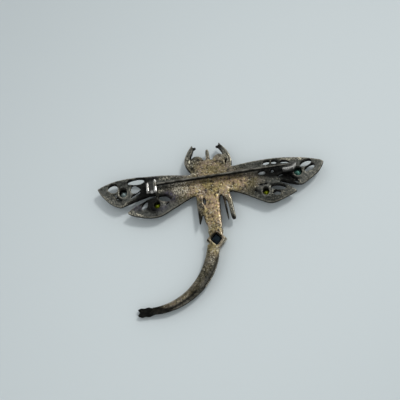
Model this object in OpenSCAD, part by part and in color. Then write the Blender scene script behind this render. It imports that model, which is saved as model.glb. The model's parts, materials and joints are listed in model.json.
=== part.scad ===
// Dragonfly brooch, lying face down: the set stones touch the ground and the pin is on top.
// X runs along the wings, +Y to the head, +Z to the back with the pin. Millimetres.
// Outline and cell tables hold shares of the named sizes that they follow.

/* [Wings] */
// Distance from the body's middle line to a forewing's tip
fore_len = 34; // [30:0.5:40]
// Depth of a forewing from its front edge to its hind corner
fore_depth = 10; // [9:0.25:12]
// Distance from the body's middle line to a hindwing's tip
hind_len = 25.3; // [23:0.5:29]
// Distance from the wing line to a hindwing's hind edge
hind_depth = 9; // [8:0.25:11]
// Thickness of the wing plates
plate_t = 1.2; // [1:0.1:1.8]
// Width of the raised rim on the front of the wings
rim_w = 0.7; // [0.4:0.1:1]
// Depth of the sunk field inside the rim
rim_h = 0.35; // [0.2:0.05:0.5]

/* [Head] */
// Radius of an eye lobe
eye_r = 2.1; // [1.6:0.1:2.4]
// Distance between the middles of the eyes
eye_gap = 6.7; // [6:0.1:7.4]
// Distance from the wing line to the middle of the eyes
eye_y = 7.2; // [6.5:0.1:8]
// Length of the peg between the eyes, past their middles
peg_len = 3.8; // [2.5:0.1:4.5]
// Width of the peg
peg_w = 1.1; // [0.7:0.1:1.3]

/* [Body] */
// Greatest width of the thorax
thorax_w = 8.8; // [8:0.1:10]
// Width of the abdomen
abdomen_w = 4.5; // [3.7:0.1:5]
// Distance of the abdomen's middle line to the right of the wings'
body_set = 0.3; // [0:0.1:0.5]
// Distance from the wing line to the middle of the lozenge
lozenge_y = 17.6; // [16:0.2:20]
// Height of the settings and of the body in front of the wing plates
front_h = 1.8; // [1.5:0.1:2.2]
// Number of rings on the front of the abdomen
ring_count = 6; // [4:1:9]

/* [Legs] */
// Width of a foreleg
foreleg_w = 1.65; // [1.3:0.05:1.8]
// Distance from the wing line to the tips of the forelegs
foreleg_reach = 12.8; // [11.5:0.1:14]
// Width of a rear leg
rearleg_w = 1.4; // [1:0.05:1.7]
// Distance from the wing line to the tips of the rear legs
rearleg_reach = 12.2; // [11:0.1:14]
// Thickness of the legs
leg_t = 1.3; // [1:0.1:1.6]

/* [Stones] */
// Diameter of the stones in the forewings
fore_stone_d = 3.3; // [2.8:0.1:3.8]
// Diameter of the stones in the hindwings
hind_stone_d = 2.8; // [2.4:0.1:3.2]
// Width of the lozenge stone
lozenge_w = 4.2; // [3.6:0.1:5]
// Length of the lozenge stone
lozenge_l = 4.9; // [4.2:0.1:5.6]
// Wall of a setting round its stone
bezel_wall = 0.55; // [0.45:0.05:0.8]
// Gap between a stone and its seat
seat_gap = 0.05; // [0.03:0.01:0.1]
// Width of the ledge that leaves a setting open at the back
ledge_w = 0.42; // [0.36:0.02:0.6]

/* [Tail] */
// Radius of the tail's bend, at its middle line
tail_r = 18.9; // [17:0.1:21]
// Greatest width of the tail
tail_w = 4; // [3.6:0.1:4.6]
// Angle of the bend, counted from the middle of the lozenge
tail_turn = 91; // [75:1:95]
// Distance of the bend's start to the left of the lozenge's middle
tail_set = 1; // [0.6:0.1:1.3]
// Length of the forked tab at the tail's end
tab_len = 4.4; // [3.6:0.1:5]
// Width of the tab
tab_w = 2.9; // [2.4:0.1:3.4]
// Depth of the notch in the tab
tab_notch = 0.8; // [0.4:0.1:1.2]
// Thickness of the tab
tab_t = 1.4; // [1:0.1:1.8]

/* [Hinge] */
// Distance from the body's middle line to the hinge's axis
hinge_x = 16.2; // [15:0.1:17]
// Distance from the wing line to the middle of the pin's eye
hinge_y = 1; // [0.5:0.1:1.4]
// Radius of the knuckles and of the pin's eye
knuckle_r = 0.62; // [0.58:0.01:0.7]
// Length of the knuckle towards the head
short_knuckle = 0.8; // [0.6:0.05:1]
// Length of the knuckle towards the tail
long_knuckle = 1.6; // [1.2:0.05:2]
// Length of the pin's eye along the hinge's axis
eye_len = 1.15; // [1.05:0.05:1.4]
// Thickness of the hinge's base
base_t = 0.35; // [0.3:0.05:0.5]
// Diameter of the rivet
rivet_d = 0.5; // [0.44:0.02:0.56]
// Gap round the rivet in the knuckles
rivet_gap = 0.02; // [0.01:0.01:0.04]
// Gap round the rivet in the pin's eye
running_gap = 0.05; // [0.03:0.01:0.08]
// Gap between the eye's ends and the knuckles
side_gap = 0.06; // [0.04:0.01:0.1]
// Radius of the stop bar behind the hinge
stop_r = 0.5; // [0.4:0.05:0.6]

/* [Pin] */
// Length of the pin from the hinge's axis to its point
pin_len = 40.7; // [38:0.1:42]
// Angle of the pin to the wing line
pin_turn = 1.5; // [0:0.1:3]
// Diameter of the pin's wire
wire_d = 0.9; // [0.8:0.02:0.94]
// Height of the pin's middle line above the wings' back
wire_h = 1.36; // [1.32:0.01:1.5]
// Length of the pin's tapering end
taper_len = 10; // [7:0.5:13]
// Distance from the hinge's axis to where the pin's thicker root ends
root_len = 1.6; // [1.5:0.1:2]
// Thickness that the root has over the wire all round
root_over = 0.05; // [0.03:0.01:0.08]
// Radius of the pin's point
point_r = 0.1; // [0.08:0.01:0.15]

/* [Catch] */
// Width of the catch along the pin
catch_w = 3.2; // [2.6:0.1:3.8]
// Inner radius of the catch's curl
curl_r = 0.65; // [0.6:0.05:0.8]
// Thickness of the catch's strip
strip_t = 0.42; // [0.35:0.01:0.5]
// Length of the catch's foot on the wing, from the middle of the curl
foot_len = 2.4; // [1.8:0.1:2.8]
// Distance from the pin's middle line to the middle of the curl
catch_set = 1.3; // [1.1:0.05:1.5]
// Distance from the pin's point to the catch's outer edge
point_past = -0.4; // [-0.8:0.1:0]

/* [Hidden] */
$fn = 48;
// Curve pieces between two rows of an outline
STEPS = 3;
// Corners of a pierced cell's outline
CELL_SIDES = 16;
// Corners of a lofted ring
RING_SIDES = 16;
// Pieces of the tail's bend
TAIL_STEPS = 20;
// How far one shape reaches into or past another
BITE = 0.3;
// How far a cut beside a setting goes into its wall
SHAVE = 0.05;
// How far the legs lie below the wings' back
leg_set = 0.08;

front_z = front_h;
back_z = front_h + plate_t;
hind_stone_z = 0.3;
// How far the thorax's back lies below the wings', and the abdomen's above it
thorax_drop = 0.25;
abdomen_rise = 0.04;
// Lowest height of the eye lobes, which stay just above the ground
eye_z = 0.05;
tail_mid = [body_set - tail_set - tail_r, -lozenge_y];
tail_end = tail_mid + tail_r * [cos(tail_turn), -sin(tail_turn)];
// Turn of the tab against the X axis, and where the widest part of its forked end lies
tab_turn = 90 - tail_turn;
tab_wide = 0.75 * tab_len;
lowest_y = tail_end[1] - tab_w / 2 * cos(tab_turn) - tab_wide * sin(tab_turn);
// Height of the hinge's axis above the wings' back, and where the knuckles start beside the eye
axis_h = wire_h + wire_d / 2 - knuckle_r + 0.03;
barrel_from = eye_len / 2 + side_gap;
// The origin is under the middle of the brooch's box
mid_y = (foreleg_reach + lowest_y) / 2;

// Outline rows: share of the wing's length, share of its depth, 1 for a corner
FORE_RIGHT = [[-0.03, 0.33, 1], [0.1, 0.38, 0], [0.206, 0.45, 0], [0.38, 0.515, 0], [0.5, 0.532, 0],
    [0.605, 0.53, 0], [0.705, 0.5, 0], [0.81, 0.45, 0], [0.91, 0.368, 0], [0.975, 0.3, 0], [1, 0.235, 1],
    [0.988, 0.14, 0], [0.956, -0.015, 0], [0.906, -0.165, 0], [0.848, -0.3, 0], [0.8, -0.395, 1],
    [0.757, -0.39, 0], [0.7, -0.335, 0], [0.64, -0.255, 0], [0.575, -0.175, 1], [0.4, -0.2, 0],
    [-0.03, -0.3, 1]];
FORE_LEFT = [[-0.03, 0.33, 1], [0.1, 0.32, 0], [0.237, 0.357, 0], [0.338, 0.404, 0], [0.44, 0.435, 0],
    [0.562, 0.452, 0], [0.644, 0.47, 0], [0.747, 0.46, 0], [0.837, 0.426, 0], [0.925, 0.345, 0],
    [1, 0.235, 1], [0.972, 0.05, 0], [0.915, -0.19, 0], [0.856, -0.355, 0], [0.8, -0.435, 1],
    [0.686, -0.32, 0], [0.6, -0.235, 0], [0.54, -0.18, 1], [0.4, -0.2, 0], [-0.03, -0.3, 1]];
HIND_RIGHT = [[-0.04, -0.05, 1], [0.4, -0.1, 0], [0.76, -0.2, 1], [0.834, -0.31, 0], [0.933, -0.47, 0],
    [1, -0.65, 1], [0.933, -0.737, 0], [0.834, -0.853, 0], [0.759, -0.928, 0], [0.7, -0.96, 0],
    [0.644, -0.925, 0], [0.534, -0.76, 0], [0.4, -0.555, 0], [0.25, -0.385, 0],
    [0.18, -0.365, 1], [-0.04, -0.42, 1]];
HIND_LEFT = [[-0.04, -0.05, 1], [0.4, -0.1, 0], [0.74, -0.31, 1], [0.841, -0.445, 0], [0.93, -0.555, 0],
    [1, -0.7, 1], [0.957, -0.79, 0], [0.859, -0.888, 0], [0.754, -0.963, 0], [0.654, -0.972, 0],
    [0.571, -0.917, 0], [0.478, -0.78, 0], [0.384, -0.655, 0], [0.272, -0.498, 0],
    [0.16, -0.365, 1], [-0.04, -0.42, 1]];

// Cell rows: middle along and across the wing, half length, half width, turn, taper, point; shares as above
CELLS_FORE_RIGHT = [[0.842, 0.225, 0.055, 0.072, 19, 0.1, 0.15], [0.872, 0.068, 0.052, 0.064, 24, 0.1, 0.15],
    [0.662, 0.352, 0.054, 0.027, -6, 0, 0.4], [0.572, 0.385, 0.028, 0.034, -5, 0, 0.2],
    [0.504, 0.392, 0.034, 0.044, 8, 0, 0.2], [0.457, 0.1, 0.034, 0.06, 5, 0.3, 0.2],
    [0.55, 0.125, 0.014, 0.048, 0, 0, 0], [0.748, -0.3, 0.022, 0.03, -35, 0, 0.3],
    [0.612, -0.045, 0.045, 0.024, 24, 0, 0.5]];
CELLS_FORE_LEFT = [[0.86, 0.178, 0.046, 0.12, 6, -0.25, 0], [0.655, 0.318, 0.079, 0.086, -2, -0.35, 0.2],
    [0.656, 0.08, 0.046, 0.115, 5, 0.6, 0.1], [0.656, -0.093, 0.073, 0.028, -29.5, 0, 0.4]];
CELLS_HIND_RIGHT = [[0.79, -0.462, 0.096, 0.072, -10, 0, 0.4], [0.765, -0.65, 0.048, 0.06, -5, 0.2, 0.2],
    [0.609, -0.3, 0.1, 0.024, 7, 0, 0.5], [0.52, -0.5, 0.03, 0.022, -24, 0, 0.5]];
CELLS_HIND_LEFT = [[0.55, -0.355, 0.073, 0.094, 17, 0, 0.1], [0.512, -0.55, 0.045, 0.024, -30, 0, 0.5],
    [0.783, -0.525, 0.058, 0.085, -58, 0.3, 0.2]];
// Crescent cuts beside a setting: first angle, last angle, width
CRESCENTS_FORE_RIGHT = [[188, 262, 0.32]];
CRESCENTS_FORE_LEFT = [[-86, 4, 0.32]];
CRESCENTS_HIND_RIGHT = [[168, 216, 0.26]];
CRESCENTS_HIND_LEFT = [[-40, 20, 0.26]];
// Raised veins on the front: shares of length and depth at both ends, half width at both ends
VEINS_FORE = [[0.12, 0.2, 0.88, 0.36, 0.4, 0.2], [0.12, 0.05, 0.7, 0.06, 0.4, 0.25],
    [0.3, 0.12, 0.74, -0.3, 0.3, 0.2], [0.82, 0.1, 0.97, 0.13, 0.3, 0.2]];
VEINS_HIND = [[0.15, -0.25, 0.58, -0.5, 0.4, 0.3], [0.3, -0.25, 0.85, -0.56, 0.35, 0.2],
    [0.7, -0.62, 0.95, -0.68, 0.3, 0.2]];
// Places of the stones: share of the wing's length, share of its depth
FORE_STONE = [0.769, 0];
HIND_STONE = [0.64, -0.56];

// Body sections from neck to lozenge: share of the way along, half width in thorax widths, front height share
THORAX_ROWS = [[0, 0.3, 0.3], [0.18, 0.42, 0.72], [0.4, 0.5, 0.93], [0.62, 0.48, 0.95], [0.84, 0.34, 0.8],
    [1, 0.22, 0.62]];
// Tail sections: share of the bend, share of the tail's width, front and back heights as shares of the body's
TAIL_ROWS = [[0, 0.86, 0.12, 0.97], [0.1, 0.95, 0.1, 0.96], [0.22, 1, 0.1, 0.95], [0.36, 0.95, 0.1, 0.92],
    [0.5, 0.87, 0.1, 0.88], [0.64, 0.76, 0.1, 0.82], [0.77, 0.67, 0.1, 0.76], [0.89, 0.6, 0.1, 0.68],
    [1, 0.52, 0.1, 0.6]];
// Lozenge stone from the table to the back: share of the brooch's body height, share of the outline
LOZENGE_ROWS = [[0.02, 0.55], [0.18, 0.8], [0.36, 1], [0.46, 1], [0.66, 0.86], [0.8, 0.6]];
// Legs as strips, a leg and its forks or side legs: share of the eyes' spacing or of the thorax's width,
// share of the reach, half width in leg widths
FORELEG_RIGHT = [
    [[0.8, 0.3, 0.5], [0.93, 0.44, 0.5], [0.915, 0.57, 0.5], [0.845, 0.685, 0.5], [0.745, 0.785, 0.47],
        [0.64, 0.865, 0.42], [0.57, 0.91, 0.36]],
    [[0.6, 0.89, 0.24], [0.58, 0.945, 0.2], [0.56, 0.996, 0.06]],
    [[0.58, 0.895, 0.22], [0.48, 0.9, 0.17], [0.39, 0.91, 0.07]]];
FORELEG_LEFT = [
    [[0.6, 0.28, 0.5], [0.84, 0.42, 0.5], [0.94, 0.55, 0.48], [0.915, 0.665, 0.5], [0.81, 0.785, 0.5],
        [0.72, 0.88, 0.42], [0.68, 0.92, 0.34]],
    [[0.69, 0.9, 0.24], [0.68, 0.95, 0.2], [0.665, 1, 0.06]],
    [[0.68, 0.9, 0.22], [0.57, 0.92, 0.17], [0.49, 0.938, 0.06]]];
REARLEGS_RIGHT = [
    [[0.5, 0.24, 0.64], [0.6, 0.46, 0.54], [0.628, 0.6, 0.5], [0.656, 0.8, 0.47], [0.685, 0.93, 0.47],
        [0.7, 0.985, 0.3]],
    [[0.4, 0.26, 0.36], [0.425, 0.44, 0.24], [0.455, 0.64, 0.21], [0.49, 0.86, 0.19], [0.51, 1, 0.07]]];
REARLEGS_LEFT = [
    [[0.375, 0.2, 0.68], [0.4, 0.47, 0.74], [0.41, 0.66, 0.56], [0.425, 0.86, 0.36], [0.455, 1.02, 0.1]],
    [[0.33, 0.52, 0.4], [0.28, 0.64, 0.36], [0.26, 0.8, 0.32], [0.245, 0.95, 0.24], [0.23, 1.04, 0.08]]];

function mix(a, b, t) = a + (b - a) * t;
function unit(v) = v / max(norm(v), 0.001);
function turned(v) = [-v[1], v[0]];

// Way of the curve at row i, or none at a corner
function way(rows, i, closed) =
    let (n = len(rows),
        a = closed ? rows[(i + n - 1) % n] : rows[max(i - 1, 0)],
        b = closed ? rows[(i + 1) % n] : rows[min(i + 1, n - 1)])
    closed && rows[i][2] == 1 ? [0, 0] : unit([b[0] - a[0], b[1] - a[1]]);

// Point at share t of the curve between rows i and j
function on_curve(rows, i, j, t, closed) =
    let (p = [rows[i][0], rows[i][1]],
        q = [rows[j][0], rows[j][1]],
        reach = norm(q - p),
        back = (t - 1) * (t - 1))
    p * (1 + 2 * t) * back + q * t * t * (3 - 2 * t)
        + way(rows, i, closed) * reach * t * back + way(rows, j, closed) * reach * t * t * (t - 1);

function loop_points(rows) =
    [for (i = [0:len(rows) - 1], s = [0:STEPS - 1]) on_curve(rows, i, (i + 1) % len(rows), s / STEPS, true)];

function path_points(rows) =
    [for (i = [0:len(rows) - 2], s = [0:STEPS - 1])
        let (t = s / STEPS,
            p = on_curve(rows, i, i + 1, t, false))
        [p[0], p[1], mix(rows[i][2], rows[i + 1][2], t)],
        rows[len(rows) - 1]];

// Rows in millimetres from rows in shares
function scaled(rows, along, across) = [for (r = rows) [r[0] * along, r[1] * across, r[2]]];

// Outline of a strip whose rows hold a middle point and a half width
function strip_outline(rows) =
    let (pts = path_points(rows),
        n = len(pts),
        ways = [for (i = [0:n - 1])
            let (a = pts[max(i - 1, 0)], b = pts[min(i + 1, n - 1)]) unit([b[0] - a[0], b[1] - a[1]])])
    [for (i = [0:n - 1]) [pts[i][0], pts[i][1]] + turned(ways[i]) * pts[i][2],
        for (i = [n - 1:-1:0]) [pts[i][0], pts[i][1]] - turned(ways[i]) * pts[i][2]];

// Oval cell outline, with a taper to one end and a point at both
function cell_outline(half_l, half_w, taper, point) =
    [for (i = [0:CELL_SIDES - 1])
        let (a = 360 * (i + 0.5) / CELL_SIDES)
        [half_l * cos(a), half_w * sin(a) * pow(abs(sin(a)), point) * (1 + taper * cos(a))]];

function arc_points(r, from, to, n) =
    [for (i = [0:n])
        let (a = mix(from, to, i / n))
        r * [cos(a), sin(a)]];

// Round stone rows from the table to the back point: height, radius
function cut_rows(d, z) =
    let (r = d / 2)
    [[z, 0.58 * r], [z + 0.34 * r, r], [z + 0.44 * r, r], [z + 1.5 * r, 0.08 * r]];

// Solid between closed rings of points that all have the same number of corners
module loft(rings) {
    n = len(rings[0]);
    m = len(rings);
    points = [for (ring = rings, p = ring) p];
    sides = [for (k = [0:m - 2], i = [0:n - 1])
        [k * n + i, (k + 1) * n + i, (k + 1) * n + (i + 1) % n, k * n + (i + 1) % n]];
    start = [[for (i = [0:n - 1]) i]];
    end = [[for (i = [n - 1:-1:0]) (m - 1) * n + i]];
    polyhedron(points = points, faces = concat(sides, start, end), convexity = 6);
}

module slab(points, from, to) {
    translate([0, 0, from]) linear_extrude(to - from) polygon(points);
}

// One side's wing pair, drawn towards +X, without its cells
module wing_pair(fore, hind) {
    outlines = [
        loop_points(scaled(fore, fore_len, fore_depth)),
        loop_points(scaled(hind, hind_len, hind_depth))];
    difference() {
        for (points = outlines)
            slab(points, front_z, back_z);
        for (points = outlines)
            translate([0, 0, front_z - BITE]) linear_extrude(BITE + rim_h)
                offset(delta = -rim_w) polygon(points);
    }
    veins(VEINS_FORE, fore_len, fore_depth);
    veins(VEINS_HIND, hind_len, hind_depth);
}

module veins(rows, along, across) {
    for (v = rows)
        slab(strip_outline([[v[0] * along, v[1] * across, v[4]], [v[2] * along, v[3] * across, v[5]]]),
            front_z + 0.05, front_z + rim_h + BITE);
}

module cells(rows, along, across) {
    for (c = rows)
        translate([c[0] * along, c[1] * across, 0]) rotate([0, 0, c[4]])
            slab(cell_outline(c[2] * along, c[3] * across, c[5], c[6]), 0, back_z + BITE);
}

module crescents(rows, d) {
    wall_r = d / 2 + seat_gap + bezel_wall;
    for (c = rows)
        slab(concat(arc_points(wall_r - SHAVE, c[0], c[1], 8), arc_points(wall_r + c[2], c[1], c[0], 8)),
            0, back_z + BITE);
}

module at_fore_stone() {
    translate([FORE_STONE[0] * fore_len, FORE_STONE[1] * fore_depth, 0]) children();
}

module at_hind_stone() {
    translate([HIND_STONE[0] * hind_len, HIND_STONE[1] * hind_depth, 0]) children();
}

// Collar of a round setting, from its front lip into the wing plate
module setting(d, z) {
    r = d / 2 + seat_gap + bezel_wall;
    lip = z + 0.12 * d;
    translate([0, 0, lip]) cylinder(h = back_z - lip + 0.12, r = r);
}

// Space of a round stone with its gap, and the hole behind it
module seat(d, z) {
    rows = cut_rows(d, z);
    hole_r = d / 2 - ledge_w;
    ledge_z = mix(rows[2][0], rows[3][0], ledge_w / (rows[2][1] - rows[3][1]));
    rotate_extrude() polygon([[0, z - BITE],
        [rows[0][1] + seat_gap, z - BITE], [rows[0][1] + seat_gap, rows[0][0]],
        [rows[1][1] + seat_gap, rows[1][0] - seat_gap / 2], [rows[2][1] + seat_gap, rows[2][0] + seat_gap],
        [hole_r, ledge_z + seat_gap], [hole_r, back_z + 1], [0, back_z + 1]]);
}

module round_stone(d, z) {
    rows = cut_rows(d, z);
    sides = RING_SIDES;
    rings = [for (k = [0:3])
        [for (i = [0:sides - 1])
            let (a = 360 * (i + (k == 0 ? 0.5 : 0)) / sides,
                facet = k == 0 ? cos(180 / 8) / cos((a % 45) - 22.5) : 1)
            [rows[k][1] * facet * cos(a), rows[k][1] * facet * sin(a), rows[k][0]]]];
    loft(rings);
}

module side(left) {
    if (left) mirror([1, 0, 0]) children();
    else children();
}

module head() {
    for (s = [-1, 1])
        translate([s * eye_gap / 2, eye_y, 0])
            rotate_extrude() polygon(concat([[0, eye_z], [0, back_z - 0.1], [eye_r * 0.86, back_z - 0.1]],
                [for (a = [0:15:90]) [eye_r * cos(a), eye_z + eye_r * (1 - sin(a))]]));
    face = [[-0.78, 0.3, 1], [-0.8, 0.75, 0], [-0.55, 1.02, 0], [-0.2, 1.05, 0], [0, 1.04, 0], [0.2, 1.05, 0],
        [0.55, 1.02, 0], [0.8, 0.75, 0], [0.78, 0.3, 1]];
    slab(loop_points(scaled(face, eye_gap, eye_y)), front_z - 0.5, back_z - 0.06);
    peg = [[0, eye_y - 1, peg_w * 0.7], [0, eye_y + peg_len * 0.4, peg_w / 2],
        [0, eye_y + peg_len * 0.8, peg_w * 0.48], [0, eye_y + peg_len, peg_w * 0.3]];
    slab(strip_outline(peg), front_z - 0.2, back_z - 0.25);
}

// Ring of a body section: half width, front and back heights
function body_ring(y, half_w, front, back) =
    let (mid = mix(front, back, 0.62))
    [for (i = [0:RING_SIDES - 1])
        let (a = 360 * (i + 0.5) / RING_SIDES,
            up = sin(a) > 0 ? (back - mid) * pow(sin(a), 0.35) : (mid - front) * sin(a))
        [half_w * cos(a) * (sin(a) > 0 ? pow(abs(cos(a)), -0.35) : 1), y, mid + up]];

module body() {
    thorax_from = eye_y * 0.79;
    thorax_to = -lozenge_y * 0.28;
    abdomen_from = thorax_to + abdomen_w / 4;
    abdomen_to = -lozenge_y + lozenge_l * 0.3;
    rings = 2 * ring_count;
    translate([body_set, 0, 0]) {
        loft([for (r = THORAX_ROWS)
            let (y = mix(thorax_from, thorax_to, r[0]))
            body_ring(y, r[1] * thorax_w, back_z * (1 - r[2]), back_z - thorax_drop)]);
        loft([for (i = [0:rings])
            let (fat = i % 2 == 0 ? 0.92 : 1,
                y = mix(abdomen_from, abdomen_to, i / rings))
            body_ring(y, abdomen_w / 2 * fat, back_z * (1 - 0.88 * fat), back_z + abdomen_rise)]);
    }
}

// Strips in one plane below the back, from rows of shares
module legs(strips, along, reach, w) {
    for (rows = strips)
        slab(strip_outline([for (r = rows) [r[0] * along, r[1] * reach, r[2] * w]]), back_z - leg_set - leg_t,
            back_z - leg_set);
}

function lozenge(w, l) = [[w / 2, 0], [0, l / 2], [-w / 2, 0], [0, -l / 2]];

// Outline of the lozenge stone grown by a gap on all sides
function grown_lozenge(gap) =
    let (grow = 1 + 2 * gap * norm([lozenge_w, lozenge_l]) / (lozenge_w * lozenge_l))
    lozenge(lozenge_w * grow, lozenge_l * grow);

module lozenge_body(gap) {
    loft([for (r = LOZENGE_ROWS) [for (p = grown_lozenge(gap)) [p[0] * r[1], p[1] * r[1], r[0] * back_z]]]);
}

module lozenge_setting() {
    translate([body_set, -lozenge_y, 0])
        slab(grown_lozenge(seat_gap + bezel_wall), LOZENGE_ROWS[1][0] * back_z, back_z - 0.05);
}

module lozenge_seat() {
    translate([body_set, -lozenge_y, 0]) {
        lozenge_body(seat_gap);
        slab(grown_lozenge(seat_gap - 0.9), -BITE, back_z / 2);
        slab(grown_lozenge(-ledge_w * 0.6), back_z / 2, back_z + 1);
    }
}

// Value of a column of the tail's table at a share of the bend
function tail_at(t, column) = lookup(t, [for (r = TAIL_ROWS) [r[0], r[column]]]);

module tail() {
    start = asin(lozenge_l * 0.3 / tail_r);
    loft([for (i = [0:TAIL_STEPS])
        let (t = i / TAIL_STEPS,
            a = mix(start, tail_turn, t),
            half_w = tail_at(t, 1) * tail_w / 2)
        [for (p = body_ring(0, half_w, tail_at(t, 2) * back_z, tail_at(t, 3) * back_z))
            [tail_mid[0] + (tail_r + p[0]) * cos(a), tail_mid[1] - (tail_r + p[0]) * sin(a), p[2]]]]);
    half = tab_w / 2;
    tab = [[BITE * 2, -half * 0.55], [-tab_len * 0.12, -half * 0.8], [-tab_len * 0.25, -half * 0.95],
        [-tab_len * 0.5, -half * 0.8], [-tab_wide, -half], [-tab_len, -half * 0.6], [-tab_len + tab_notch, 0],
        [-tab_len, half * 0.6], [-tab_wide, half * 0.85], [-tab_len * 0.5, half * 0.75],
        [-tab_len * 0.25, half * 0.95], [-tab_len * 0.12, half * 0.8], [BITE * 2, half * 0.55]];
    translate([tail_end[0], tail_end[1], 0]) rotate([0, 0, tab_turn]) slab(tab, 0, tab_t);
}

// Frame of the pin: at the wings' back under the middle of the eye, +X along the pin
module on_pin() {
    translate([-hinge_x, hinge_y, back_z]) rotate([0, 0, pin_turn]) children();
}

module hinge_base() {
    north = barrel_from + short_knuckle;
    south = barrel_from + long_knuckle;
    stop_x = -knuckle_r - 1.25 - stop_r;
    on_pin() {
        translate([stop_x - stop_r, -south, -BITE])
            cube([knuckle_r + stop_r - stop_x, north + south, BITE + base_t]);
        for (k = [[barrel_from, short_knuckle], [-barrel_from - long_knuckle, long_knuckle]])
            translate([0, k[0], 0]) {
                translate([0, 0, axis_h]) rotate([-90, 0, 0]) cylinder(h = k[1], r = knuckle_r);
                translate([-knuckle_r * 0.9, 0, 0]) cube([knuckle_r * 1.8, k[1], axis_h]);
            }
        translate([stop_x, -south * 0.72, base_t + stop_r * 0.4]) rotate([-90, 0, 0])
            cylinder(h = (north + south) * 0.74, r = stop_r);
    }
}

module rivet_bore() {
    on_pin() translate([0, -barrel_from - long_knuckle - 1, axis_h]) rotate([-90, 0, 0])
        cylinder(h = 2 * barrel_from + long_knuckle + short_knuckle + 2, r = rivet_d / 2 + rivet_gap);
}

// Strip bent into a C that opens towards the pin, standing on its foot
module catch() {
    outer = curl_r + strip_t;
    mid_h = strip_t + curl_r;
    curl = concat(arc_points(outer, 80, 270, 16), arc_points(curl_r, 270, 80, 16));
    on_pin() translate([pin_len - point_past - catch_w, -catch_set, 0]) {
        translate([0, 0, mid_h]) rotate([90, 0, 90]) slab(curl, 0, catch_w);
        foot = [[0, -BITE], [catch_w, -BITE],
            [catch_w + foot_len * 0.6, foot_len], [catch_w * 0.6, foot_len]];
        slab(foot, -BITE, strip_t);
    }
}

module casting() {
    color("#7c7466") translate([0, -mid_y, 0]) difference() {
        union() {
            wing_pair(FORE_RIGHT, HIND_RIGHT);
            mirror([1, 0, 0]) wing_pair(FORE_LEFT, HIND_LEFT);
            head();
            body();
            legs(FORELEG_RIGHT, eye_gap, foreleg_reach, foreleg_w);
            mirror([1, 0, 0]) legs(FORELEG_LEFT, eye_gap, foreleg_reach, foreleg_w);
            legs(REARLEGS_RIGHT, thorax_w, -rearleg_reach, rearleg_w);
            mirror([1, 0, 0]) legs(REARLEGS_LEFT, thorax_w, -rearleg_reach, rearleg_w);
            lozenge_setting();
            tail();
            for (left = [false, true])
                side(left) {
                    at_fore_stone() setting(fore_stone_d, 0);
                    at_hind_stone() setting(hind_stone_d, hind_stone_z);
                }
            hinge_base();
            catch();
        }
        wing_cuts(CELLS_FORE_RIGHT, CELLS_HIND_RIGHT, CRESCENTS_FORE_RIGHT, CRESCENTS_HIND_RIGHT);
        mirror([1, 0, 0])
            wing_cuts(CELLS_FORE_LEFT, CELLS_HIND_LEFT, CRESCENTS_FORE_LEFT, CRESCENTS_HIND_LEFT);
        lozenge_seat();
        rivet_bore();
    }
}

module wing_cuts(fore, hind, fore_crescents, hind_crescents) {
    cells(fore, fore_len, fore_depth);
    cells(hind, hind_len, hind_depth);
    at_fore_stone() {
        crescents(fore_crescents, fore_stone_d);
        seat(fore_stone_d, 0);
    }
    at_hind_stone() {
        crescents(hind_crescents, hind_stone_d);
        seat(hind_stone_d, hind_stone_z);
    }
}

module hinge_rivet() {
    shank = 2 * barrel_from + long_knuckle + short_knuckle + 2 * rivet_gap;
    head_r = knuckle_r * 0.7;
    head_h = 0.22;
    color("#c9c9c6") translate([0, -mid_y, 0]) on_pin()
        translate([0, -barrel_from - long_knuckle - rivet_gap, axis_h]) rotate([-90, 0, 0])
            rotate_extrude() polygon([[0, -head_h],
                [head_r * 0.6, -head_h], [head_r, -head_h * 0.4], [head_r, 0],
                [rivet_d / 2, 0], [rivet_d / 2, shank], [head_r, shank], [head_r, shank + head_h * 0.4],
                [head_r * 0.6, shank + head_h], [0, shank + head_h]]);
}

module pin_stem() {
    straight = pin_len - taper_len;
    color("#b9b7b0") translate([0, -mid_y, 0]) on_pin() difference() {
        union() {
            translate([0, -eye_len / 2, axis_h]) rotate([-90, 0, 0]) cylinder(h = eye_len, r = knuckle_r);
            translate([0, 0, wire_h]) rotate([0, 90, 0]) rotate_extrude()
                polygon([[0, 0], [wire_d / 2 + root_over, 0], [wire_d / 2 + root_over, root_len * 0.6],
                    [wire_d / 2, root_len], [wire_d / 2, straight],
                    [wire_d * 0.3, pin_len - taper_len * 0.25],
                    [point_r, pin_len - point_r], [0, pin_len]]);
        }
        translate([0, -eye_len, axis_h]) rotate([-90, 0, 0])
            cylinder(h = 2 * eye_len, r = rivet_d / 2 + running_gap);
    }
}

module stone_left_forewing() {
    color("#b5c4cc") translate([0, -mid_y, 0]) side(true) at_fore_stone() round_stone(fore_stone_d, 0);
}

module stone_right_forewing() {
    color("#4f8378") translate([0, -mid_y, 0]) at_fore_stone() round_stone(fore_stone_d, 0);
}

module stone_left_hindwing() {
    color("#7f9420") translate([0, -mid_y, 0]) side(true) at_hind_stone()
        round_stone(hind_stone_d, hind_stone_z);
}

module stone_right_hindwing() {
    color("#7f9420") translate([0, -mid_y, 0]) at_hind_stone() round_stone(hind_stone_d, hind_stone_z);
}

module lozenge_stone() {
    color("#1f262b") translate([body_set, -mid_y - lozenge_y, 0]) lozenge_body(0);
}

casting();
hinge_rivet();
pin_stem();
stone_left_forewing();
stone_right_forewing();
stone_left_hindwing();
stone_right_hindwing();
lozenge_stone();
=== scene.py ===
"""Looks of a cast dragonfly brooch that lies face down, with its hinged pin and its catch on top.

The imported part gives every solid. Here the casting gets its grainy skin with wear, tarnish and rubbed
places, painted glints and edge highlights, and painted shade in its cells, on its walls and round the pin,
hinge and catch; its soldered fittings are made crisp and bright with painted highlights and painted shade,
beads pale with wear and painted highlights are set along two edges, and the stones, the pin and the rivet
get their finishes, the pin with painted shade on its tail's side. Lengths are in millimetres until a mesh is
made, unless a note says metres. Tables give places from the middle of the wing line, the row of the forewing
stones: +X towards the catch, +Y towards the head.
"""

from __future__ import annotations

import itertools
import json
import logging
import math
from dataclasses import dataclass
from enum import Enum
from typing import Sequence

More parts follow.
